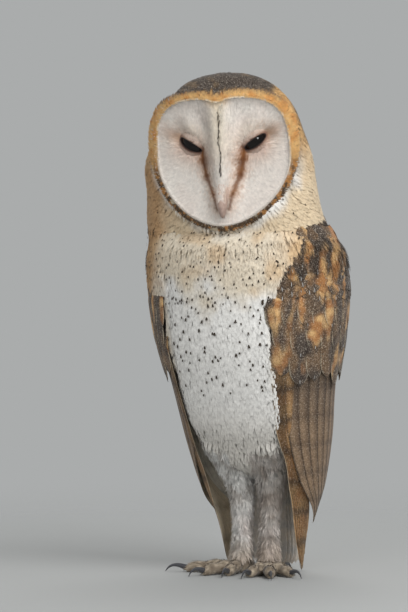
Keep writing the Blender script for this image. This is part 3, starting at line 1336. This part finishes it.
def part_line():
    """Broken dark line where the feathers of the ridge part, and the pale crest at its top."""
    rng = np.random.default_rng(63)
    z = np.arange(40, -9, -0.8)
    for name, shift, spread, tone, barbs, kept in (
            ("dark", 0.8, 0.22, DARK, 4, (z < 34) & (rng.random(len(z)) < 0.8)),
            ("pale", 3.0, 0.9, colour(234, 226, 210), 7, z > 28)):
        level = z[kept]
        count = len(level)
        x = shift + 0.5 * np.sin(level * 0.31) + rng.normal(0, spread, count)
        base = np.stack([x, disc_depth(x, level) + 0.35, level], -1)
        lie, normal = (np.broadcast_to(way, (count, 3)) for way in ((0.02, 0, -1.0), (0, -1.0, 0)))
        head_tufts(f"part_{name}", base, normal, lie, 64, rng.uniform(1.4, 3.6, count),
                   partial(one_tint, tone, 0.3), unwrap_face, reach=0.7, height=FACE_COAT, sink=0.2,
                   barbs=barbs, width=0.3, spread=13, bend=80, rough=0.03, material=DOWN)


def bristle_tint(points):
    q = to_head(points)
    low = 1 - smooth(q[..., 2], -24.5, -10)
    tone = blend(face_tint(points)[0], PINK, 0.12 * low)
    return blend(tone, RUST, 0.6 * smooth(np.abs(q[..., 0]), 3.6, 5.6) * low), 0


BRISTLES = 980


def bill_bristles():
    """Fine bristles that run down from the ridge over the root of the bill."""
    rng = np.random.default_rng(65)
    count = BRISTLES
    z = rng.uniform(-24, -1, count)
    x = rng.normal(0, 1, count).clip(-2, 2) * mix(1.7, 2.9, smooth(z, -24, -1))
    width = measure(BILL_UPPER, z, "width") + 0.3
    depth = measure(BILL_UPPER, z, "depth")
    side = np.clip(x / width, -1, 1)
    horn_y = measure(BILL_UPPER, z, "y") + depth - depth * np.sqrt(1 - side**2)
    face_y = disc_depth(x, z) + 0.6
    y = np.where(np.abs(x) < width, np.minimum(horn_y, face_y), face_y) - 0.55
    lie = np.stack([-0.035 * x, np.full(count, -0.3), np.full(count, -1.0)], -1)
    normal = unit(np.stack([side * 0.8, np.full(count, -1.0), np.zeros(count)], -1))
    length = mix(4, 8, rng.random(count))
    head_tufts("bill_bristles", np.stack([x, y, z], -1), normal, lie, 66, length, bristle_tint, unwrap_face,
               reach=0.7, height=0.5, sink=0.3, barbs=5, width=0.3, spread=6, bend=220, material=DOWN)


DROPS = (
    # Name, lowest and highest level, spacing, length, width, seed
    ("neck", 250, 290, 13, 1.5, 0.42, 73), ("chest", 190, 241, 7, 2.0, 0.5, 71),
    ("belly", 128, 196, 8.4, 2.7, 0.62, 72),
)


def spot_feathers(skin, masks):
    """Dark drops: tips of single breast feathers, small on the chest and larger on the belly."""
    z = skin.middle[:, 2]
    neck = masks["head"] * (skin.middle[:, 1] - SHIFT_Y < 10)
    for name, low, high, spacing, size, width, seed in DROPS:
        region, coat = (neck, HEAD_COAT) if name == "neck" else (masks["breast"], BODY_COAT)
        roots, normals = skin.scatter(region * (z > low) * (z < high), spacing, seed)
        rng = np.random.default_rng(seed)
        keep = rng.random(len(roots)) < (0.5 if name == "neck" else 0.8 * smooth(roots[:, 2], 122, 152))
        roots, normals = roots[keep], normals[keep]
        lengths = size * rng.uniform(0.7, 1.25, len(roots))
        piece = tufts(f"drops_{name}", roots, normals, body_lie(roots), seed, lengths,
                      partial(one_tint, SPOT, 0.12), unwrap_body, reach=0.85, height=coat + 0.25, sink=-coat,
                      steps=3, width=width, spread=27, bend=200, rough=0.02)
        finish_piece(piece, "breast", "torso")


def skin_tint(points):
    """Looks of the skin between the feathers, region by region over the breast's."""
    tint, speck = breast_tint(points)
    shares = find_regions(points)
    for name, maker in (("wing", wing_tint), ("head", head_tint), ("rim", rim_tint), ("face", face_tint),
                        ("leg", leg_tint), ("toe", toe_tint)):
        over, over_speck = maker(points)
        tint = blend(tint, over, shares[name])
        speck = mix(speck, over_speck, shares[name])
    return tint, speck


def find_regions(points):
    """Which region of the skin points lie in: 1 for inside and 0 for outside, by name."""
    q = to_head(points)
    z = points[:, 2]
    angle = np.abs(body_angle(points))
    share = disc_share(q[:, 0], q[:, 2])
    behind = q[:, 1] - disc_depth(q[:, 0], q[:, 2])
    face = (share < 1.0) & (behind < 4.5)
    rim = (share < mix(1.055, 1.07, smooth(q[:, 2], -10, 10))) & (behind < 6)
    seat = 247.4 + 0.27 * (points[:, 1] - SHIFT_Y + 20)
    seat = seat + 7 * (noise(points, 6, 46) - 0.5) * (points[:, 1] > 0)
    head = (z > seat) & ~face & ~rim
    body = ~face & ~head
    away_x = np.abs(points[:, 0]) - measure(LEG, z, "x")
    away_y = points[:, 1] - SHIFT_Y - measure(LEG, z, "y")
    leg = (z < 90) & (z > ANKLE) & (np.hypot(away_x, away_y) < measure(LEG, z, "radius") + 2)
    toe = z <= ANKLE
    mantle = body & (angle > back_edge(z) - 0.05) & (z > 128)
    wing = mantle | body & (z > 150) & (angle > coat_edge(z, points[:, 0]) + 0.02) & (z < 262)
    inner = ~leg & ~toe & (z < 150) & (angle > front_edge(z, points[:, 0]) + 0.12) & ~mantle
    breast = ~(face | head | rim | leg | toe | wing | inner)
    found = {"face": face, "head": head, "rim": rim, "leg": leg, "toe": toe, "wing": wing, "inner": inner,
             "breast": breast}
    return {name: mask.astype(float) for name, mask in found.items()}


def belly_length(roots):
    beyond = np.abs(body_angle(roots)) - front_edge(roots[:, 2], roots[:, 0])
    return mix(6.5, 11.5, smooth(roots[:, 2], 90, 122)) * (1 - 0.45 * smooth(beyond, -0.14, 0.02))


def leg_length(roots):
    return mix(5.5, 10.5, smooth(noise(roots, 7, 41), 0.2, 0.8))


def face_length(roots):
    q = to_head(roots)
    return mix(5.2, 1.8, smooth(disc_share(q[:, 0], q[:, 2]), 0.86, 0.98))


def toe_lie(points):
    middle = np.stack([np.sign(points[:, 0]) * FOOT["x"], np.full(len(points), FOOT["y"] + SHIFT_Y)], -1)
    return np.concatenate([points[:, :2] - middle, np.full((len(points), 1), -2.0)], -1)


BELLY_TOP = 168


def dress(skin):
    """Covers the skin with soft feathers, region by region."""
    masks = find_regions(skin.middle)
    z = skin.middle[:, 2]
    under = skin.rise < np.where(z < 150, -0.62, -0.3)
    crease = masks["breast"] * (z < 112) * (skin.rise > -0.05)
    masks["leg"] = np.maximum(masks["leg"], crease)
    masks["under"], masks["breast"] = masks["breast"] * under, masks["breast"] * ~under * (crease == 0)
    high = to_head(skin.middle)[:, 2] > 6
    nape = z + 10 * (noise(skin.middle, 7, 48) - 0.5) > 222
    body = (("breast", "torso"), body_lie, breast_tint, unwrap_body, {
        "height": BODY_COAT - 0.2, "sink": 0.1, "swell": 2.6, "barbs": 12, "width": 0.8, "rough": 0.03,
        "vary": 0.8, "ruffle": 0.04, "level": 0.3})
    head = (("neck", "head"), head_lie, head_tint, unwrap_head, {
        "length": 8, "height": HEAD_COAT, "sink": 0.2, "swell": 2.4, "rough": 0.03})
    back = (("neck", "neck"), body_lie, wing_tint, unwrap_body, {
        "length": 12, "height": BODY_COAT + 1, "width": 0.7})
    face = (("face", "head"), face_lie, face_tint, unwrap_face, {
        "length": face_length, "height": FACE_COAT - 0.5, "sink": 0.4, "barbs": 7, "width": 0.4, "spread": 12,
        "rough": 0.04, "material": DOWN})
    legs = (("leg", "shank_left"), body_lie, leg_tint, unwrap_leg, {
        "length": leg_length, "height": LEG_COAT + 1.2, "width": 0.5, "spread": 26, "rough": 0.3,
        "ruffle": 0.32, "vary": 2.4, "material": DOWN})
    toes = (("foot", "foot_left"), toe_lie, toe_tint, unwrap_foot, {
        "length": 3.4, "height": 0.9, "sink": 0.3, "barbs": 5, "width": 0.3, "spread": 20, "material": DOWN})
    coats = (
        ("breast", masks["breast"] * (z > BELLY_TOP), 2.3, 11, body, {"length": 10.5}),
        ("belly", masks["breast"] * (z <= BELLY_TOP), 2.4, 12, body, {"length": belly_length, "level": 0.12}),
        ("under_belly", masks["under"] * (z < 150), 2.4, 19, body, {"length": 6.5, "height": 1.6}),
        ("chin", masks["under"] * (z > 150), 2.0, 20, body,
         {"length": 3.6, "height": 0.6, "sink": 0.4, "barbs": 9, "width": 0.7}),
        ("under_wing", masks["inner"], 3.7, 13, body, {"length": 6.5, "height": 1.2, "sink": 0.4}),
        ("crown", masks["head"] * high, 2.06, 14, head, {}),
        ("cheeks", masks["head"] * ~high, 2.06, 21, head, {}),
        ("nape", masks["wing"] * nape, 2.1, 15, back, {}),
        ("face", masks["face"], 1.22, 16, face, {}),
        ("legs", masks["leg"], 1.9, 17, legs, {}),
        ("toes", masks["toe"] * (z > 1.4), 1.7, 18, toes, {}),
    )
    for name, region, spacing, seed, (place, lie, tint, unwrap, usual), changes in coats:
        options = {**usual, **changes}
        roots, normals = skin.scatter(region, spacing, seed)
        length = options.pop("length")
        length = length(roots) if callable(length) else length
        finish_piece(tufts(name, roots, normals, lie(roots), seed, length, tint, unwrap, **options), *place)
        if name == "face":
            part_line()
            bill_bristles()
    spot_feathers(skin, masks)


# ---- Eyes, bill and claws ----


def eye_frame(side):
    """Centre of an eye, the way it looks, the way its slit runs and the way up across the slit."""
    outward, slant = math.radians(EYE["outward"]), math.radians(EYE["slant"])
    gaze = np.array([side * math.sin(outward), -math.cos(outward), 0])
    slit = np.array([side * math.cos(slant), 0, math.sin(slant)])
    slit = unit(slit - gaze * slit.dot(gaze))
    up = np.cross(slit, gaze) * side
    return np.array([side * EYE["x"], EYE["y"], EYE["z"]]), gaze, slit, up


LID = {"half": 10.2, "up": 2.7, "down": 3.1, "outer": 12.2, "round": 0.82, "reach": 6.5, "feathers": 1900}
LID_BALL = EYE["radius"] + 1.1
LID_PROFILE = (
    # Height over the eyeball and distance out from the opening, of each ring of the lids
    (0.05, -0.35), (0.25, -0.05), (0.65, 0.0), (1.0, 0.25), (1.2, 0.7), (1.3, 1.4), (1.2, 2.6), (1.0, 4.2),
    (0.8, 6.5),
)


def lid_opening(turn):
    """Edge of the opening between the lids, along and across its slit."""
    across = np.where(np.sin(turn) > 0, LID["up"], -LID["down"]) * np.abs(np.sin(turn)) ** LID["round"]
    return LID["half"] * np.cos(turn), across


def eye_direction(side, a, b):
    """Direction from the middle of an eye to a place given along and across its slit."""
    gaze, slit, up = eye_frame(side)[1:]
    flat = np.maximum(np.hypot(a, b), 1e-6)
    tilt = np.clip(flat / LID_BALL, 0, 1.25)
    return (np.cos(tilt)[:, None] * gaze + (a / flat * np.sin(tilt))[:, None] * slit
            + (b / flat * np.sin(tilt))[:, None] * up)


def make_lids(name, side):
    """Upper and lower lid as one ring of skin on the eyeball, open in a slanting almond."""
    turn = full_turn(96)
    open_a, open_b = lid_opening(turn)
    open_b = open_b + 0.25 * np.cos(turn)
    grow = np.hypot(open_a, open_b)
    dir_a, dir_b = open_a / grow, open_b / grow
    rings = []
    for over, out in LID_PROFILE:
        fade = max(out, 0) / LID["reach"]
        a = mix(open_a + dir_a * out, dir_a * LID["outer"], fade)
        b = mix(open_b + dir_b * out, dir_b * LID["outer"], fade)
        rings.append(eye_frame(side)[0] + (EYE["radius"] + over) * eye_direction(side, a, b))
    rows, count = len(rings), len(turn)
    points = from_head(np.array(rings).reshape(-1, 3))
    ring = np.repeat(np.arange(rows), count)
    tint = blend(colour(34, 25, 23), colour(140, 106, 90), smooth(ring, 2.4, 4))
    tint = blend(tint, colour(206, 190, 178), smooth(ring, 4, 6))
    uv = np.stack([np.tile(turn / TURN, rows) * 0.98, ring / rows], -1)
    lids = new_object(name, points, grid_cells(rows, count, closed=True), tint, 0, uv, DOWN)
    finish_piece(lids, "face", "head")


def lid_tint(side, points):
    centre, _, slit, up = eye_frame(side)
    q = to_head(points) - centre
    high = q @ up
    edge = np.sqrt(np.clip(1 - (q @ slit / LID["half"]) ** 2, 0, 1))
    edge = edge * np.where(high > 0, LID["up"], LID["down"])
    near = 1 - smooth(np.abs(high) - edge, 0.2, 2.2)
    tint = blend(face_tint(points)[0], colour(178, 154, 140), 0.55)
    return blend(tint, colour(118, 84, 68), 0.7 * near), 0


def lid_feathers(name, side):
    """Very short feathers over the lids, running away from the opening."""
    centre, _, slit, up = eye_frame(side)
    rng = np.random.default_rng(81)
    n = LID["feathers"]
    turn = rng.uniform(0, TURN, n)
    out = 0.45 + 4.2 * rng.random(n) ** 1.3
    a, b = lid_opening(turn)
    grow = np.hypot(a, b)
    a, b = a + a / grow * out, b + b / grow * out
    flat = np.hypot(a, b)
    normal = eye_direction(side, a, b)
    lie = unit((a / flat)[:, None] * slit + (b / flat)[:, None] * up)
    roots = centre + normal * (EYE["radius"] + 1.3)
    head_tufts(name, roots, normal, lie, 82, mix(1.3, 2.8, out / 4.6), partial(lid_tint, side),
               unwrap_face, reach=0.6, height=0.3, sink=0.12, barbs=5, width=0.24, spread=12, bend=11,
               rough=0.03, material=DOWN)


def make_eyes():
    black = gloss_material("eye_gloss", colour(11, 7, 5), 0.4)
    for name, side in SIDES:
        points, faces = ball((side * EYE["x"], EYE["y"], EYE["z"]), EYE["radius"], 64, 40)
        eyeball = new_object(f"eyeball_{name}", from_head(points), faces, material=black)
        finish_piece(eyeball, "eye", f"eye_{name}")
        make_lids(f"lids_{name}", side)
        lid_feathers(f"lid_feathers_{name}", side)


def bill_rings(table):
    angle = full_turn(48)
    low, high = table["z"][0], table["z"][-1]
    keel = 1 - 0.2 * np.clip(np.sin(angle), 0, 1) * np.abs(np.cos(angle))
    rings = []
    for s in np.linspace(0, 1, 40):
        level = mix(high, low, s**0.85)
        width, depth, front = (float(measure(table, level, key)) for key in ("width", "depth", "y"))
        point = min((level - low) / 1.6 + 0.04, 1) ** 0.5
        y = front + depth - depth * point * np.sin(angle)
        rings.append(level_ring(width * np.cos(angle) * keel * point, y, level))
    return np.array(rings)


NOSTRIL, NOSTRIL_RADIUS = (4.2, -43.6, -16.2), 1.25


def make_bill():
    horn = horn_material("bill_horn", colour(204, 176, 160), colour(132, 112, 104), 247, 290, 0.4, 0.1)
    for name, table in (("bill_upper", BILL_UPPER), ("bill_lower", BILL_LOWER)):
        points, faces = loft(bill_rings(table))
        bill = new_object(f"{name}_horn", from_head(points), faces, material=horn)
        if name == "bill_upper":
            nostrils = [ball(np.multiply(NOSTRIL, (side, 1, 1)), NOSTRIL_RADIUS, 20, 12) for side in (1, -1)]
            bill.data = carved(bill, [(from_head(points), faces) for points, faces in nostrils])
        finish_piece(bill, "horn", name)


def talon_rings(side, name, toe):
    turn, length, radius = toe
    ahead = heading(turn)
    across = np.cross(ahead, (0, 0, 1))
    base = np.array([side * FOOT["x"], FOOT["y"] + SHIFT_Y, 0]) + ahead * (length + 2 * SEAM - 1.2)
    base[2] = radius * 0.72 * 0.9 + 0.4
    reach = TALON["length"] * (TALON["hind"] if name == "hind" else 1) + 1.2
    angle = full_turn(20)
    rings = []
    for s in np.linspace(0, 1, 28):
        r = mix(TALON["radius"], 0.22, s**0.85)
        centre = base + ahead * reach * math.sin(s * 1.25) * 0.95
        centre[2] = mix(base[2] + TALON["rise"] * math.sin(s * math.pi * 0.8), FLOOR_CLEARANCE + 0.3, s**2.6)
        centre[2] = max(centre[2], r + FLOOR_CLEARANCE)
        slope = unit(ahead + np.array([0, 0, mix(0.5, -1.2, s)]))
        rise = np.cross(across, slope)
        ring = centre + r * (0.82 * np.cos(angle)[:, None] * across + np.sin(angle)[:, None] * rise)
        ring[:, 2] = np.maximum(ring[:, 2], FLOOR_CLEARANCE)
        rings.append(ring)
    return np.array(rings)


def make_talons():
    claw = horn_material("claw_horn", colour(70, 70, 74), colour(34, 34, 38), 0, 9, 0.28, 0.3)
    for name, side in SIDES:
        for toe_name, toe in TOES[name].items():
            points, faces = loft(talon_rings(side, toe_name, toe))
            talon = new_object(f"claw_{name}_{toe_name}", points, faces, material=claw)
            finish_piece(talon, "talon", f"talon_{name}_{toe_name}")


# ---- Stage ----

CAMERA_PLACE = {"azimuth": 28, "elevation": 2.5, "distance": 3000, "aim": (-23.9, -17.75, 188)}
SENSOR = 36
FRAME_HEIGHT = 426
FAR = 100
LIGHTS_AIM = (0, 0, 190)
LIGHTS = (
    # Name, azimuth, elevation, distance, size, power
    ("key", 66, 42, 1700, 1000, 19), ("fill", 5, 20, 2000, 1200, 8), ("top", 200, 60, 1700, 900, 10),
    ("glint", 48, 13, 1500, 280, 4),
)
FLOOR = {"radius": 900, "sides": 96, "fade": (0.15, 0.8)}


def place_looking(name, data, azimuth, elevation, distance, aim):
    """Object at a distance from a point, turned towards it."""
    a, e = math.radians(azimuth), math.radians(elevation)
    way = np.array([math.sin(a) * math.cos(e), -math.cos(a) * math.cos(e), math.sin(e)])
    obj = bpy.data.objects.new(name, data)
    bpy.context.scene.collection.objects.link(obj)
    obj.location = (np.array(aim) + way * distance) * MM
    obj.rotation_euler = Vector(-way).to_track_quat("-Z", "Y").to_euler()
    return obj


def make_floor():
    """Pale round floor that fades out towards its edge."""
    count = FLOOR["sides"]
    angle = full_turn(count)
    ring = np.stack([np.cos(angle), np.sin(angle), angle * 0], -1) * FLOOR["radius"]
    j = np.arange(count)
    faces = np.stack([j, (j + 1) % count, np.full(count, count)], -1)
    material = new_material("floor", {"Base Color": (*colour(166, 167, 166), 1), "Roughness": 0.9})
    place = object_place(material)
    length = add_node(material, "VectorMath", {0: place}, "Value", operation="LENGTH")
    low, high = FLOOR["fade"]
    fade = add_node(material, "MapRange", {"From Min": low, "From Max": high, "To Min": 1, "To Max": 0,
                                           "Value": length}, "Result", interpolation_type="SMOOTHSTEP")
    feed(material, material.node_tree.nodes["Principled BSDF"], {"Alpha": fade})
    new_object("floor", np.concatenate([ring, [[0, 0, 0]]]), faces, material=material, flat=True)


def make_stage():
    scene = bpy.context.scene
    scene.view_settings.view_transform = "Standard"
    data = bpy.data.cameras.new("camera")
    data.sensor_width, data.clip_end = SENSOR, FAR
    data.lens = SENSOR * CAMERA_PLACE["distance"] / FRAME_HEIGHT
    scene.camera = place_looking("camera", data, **CAMERA_PLACE)
    world = bpy.data.worlds.new("studio")
    world.use_nodes = True
    backdrop = world.node_tree.nodes["Background"]
    backdrop.inputs["Color"].default_value = (*colour(170, 172, 172), 1)
    backdrop.inputs["Strength"].default_value = 1.0
    scene.world = world
    for name, azimuth, elevation, distance, size, power in LIGHTS:
        light = bpy.data.lights.new(name, "AREA")
        light.shape, light.size, light.energy = "SQUARE", size * MM, power
        lamp = place_looking(name, light, azimuth, elevation, distance, LIGHTS_AIM)
        lamp.visible_glossy = name == "glint"
    make_floor()


make_stage()
skin_points, skin_faces = make_skin()
skin = Skin(skin_points, skin_faces)
skin_uv = unwrap_body(skin_points)
body_skin = new_object("skin", skin_points, skin_faces, *skin_tint(skin_points), skin_uv, DOWN)
finish_piece(body_skin, "breast", "torso", "neck", "head", "thigh_left", "thigh_right", "shank_left",
             "shank_right", "foot_left", "foot_right")
dress(skin)
ruff_feathers()
for side_name, wing_side in SIDES:
    shoulder_feathers(side_name, wing_side)
mantle_feathers()
for side_name, wing_side in SIDES:
    wing_feathers(side_name, wing_side)
tail_feathers()
make_eyes()
make_bill()
make_talons()
